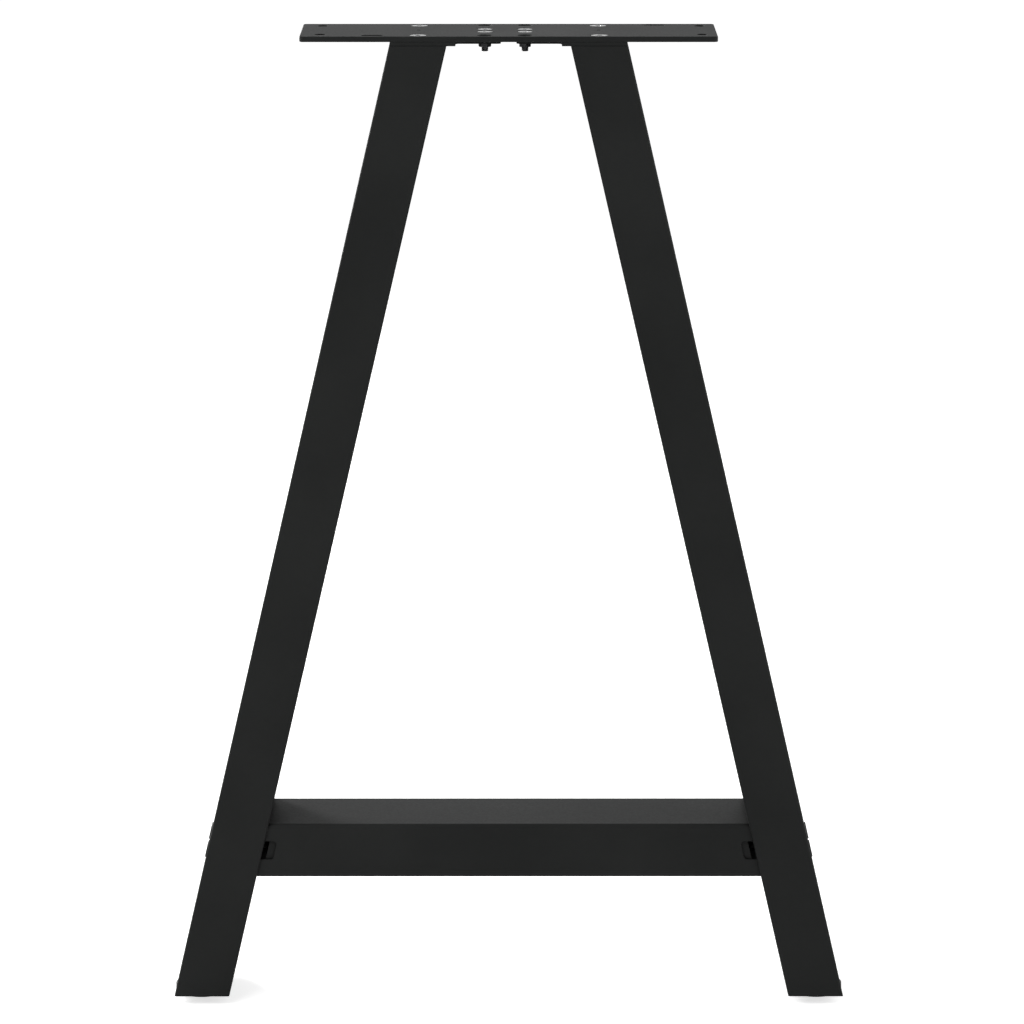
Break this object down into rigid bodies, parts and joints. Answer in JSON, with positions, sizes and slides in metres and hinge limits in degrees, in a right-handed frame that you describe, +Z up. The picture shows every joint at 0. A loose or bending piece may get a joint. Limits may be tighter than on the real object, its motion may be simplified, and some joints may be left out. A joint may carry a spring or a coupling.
{
  "type": "trestle table leg",
  "caption": "A-frame trestle table leg of rectangular steel tube, with a flat top plate for the table top, a folded crossbar and levelling feet.",
  "frame": {"origin": "on the floor under the middle of the leg", "axes": "+Z up, +X along the leg's width to the right seen from the front, +Y to the rear"},
  "size_m": [0.5026, 0.08, 0.726],
  "materials": {
    "frame": "fine matt black powder coat",
    "screws": "bright zinc plated",
    "nuts": "dark zinc plated",
    "black_bolts": "black plated, slightly glossy",
    "pads": "black moulded plastic, fine grain"
  },
  "bodies": {
    "frame": {"crossbar_cap": "frame", "crossbar_tray": "frame", "left_crossbar_end_plate": "frame", "left_foot_nut": "nuts", "left_foot_plate": "frame", "left_front_crossbar_bolt": "black_bolts", "left_front_crossbar_nut": "nuts", "left_front_leg_nut": "nuts", "left_front_leg_screw": "screws", "left_front_tongue_bolt": "screws", "left_front_tongue_nut": "nuts", "left_head_plate": "frame", "left_leg_tube": "frame", "left_rear_crossbar_bolt": "black_bolts", "left_rear_crossbar_nut": "nuts", "left_rear_leg_nut": "nuts", "left_rear_leg_screw": "screws", "left_rear_tongue_bolt": "screws", "left_rear_tongue_nut": "nuts", "right_crossbar_end_plate": "frame", "right_foot_nut": "nuts", "right_foot_plate": "frame", "right_front_crossbar_bolt": "black_bolts", "right_front_crossbar_nut": "nuts", "right_front_leg_nut": "nuts", "right_front_leg_screw": "screws", "right_front_tongue_bolt": "screws", "right_front_tongue_nut": "nuts", "right_head_plate": "frame", "right_leg_tube": "frame", "right_rear_crossbar_bolt": "black_bolts", "right_rear_crossbar_nut": "nuts", "right_rear_leg_nut": "nuts", "right_rear_leg_screw": "screws", "right_rear_tongue_bolt": "screws", "right_rear_tongue_nut": "nuts", "top_plate": "frame"},
    "left_foot": {"left_foot_stem": "screws", "left_foot_pad": "pads"},
    "right_foot": {"right_foot_stem": "screws", "right_foot_pad": "pads"}
  },
  "joints": [
    {"name": "left_foot_height", "type": "slide", "parent": "frame", "child": "left_foot", "axis": [0, 0, -1], "range_m": [0, 0.01]},
    {"name": "right_foot_height", "type": "slide", "parent": "frame", "child": "right_foot", "axis": [0, 0, -1], "range_m": [0, 0.01]}
  ]
}
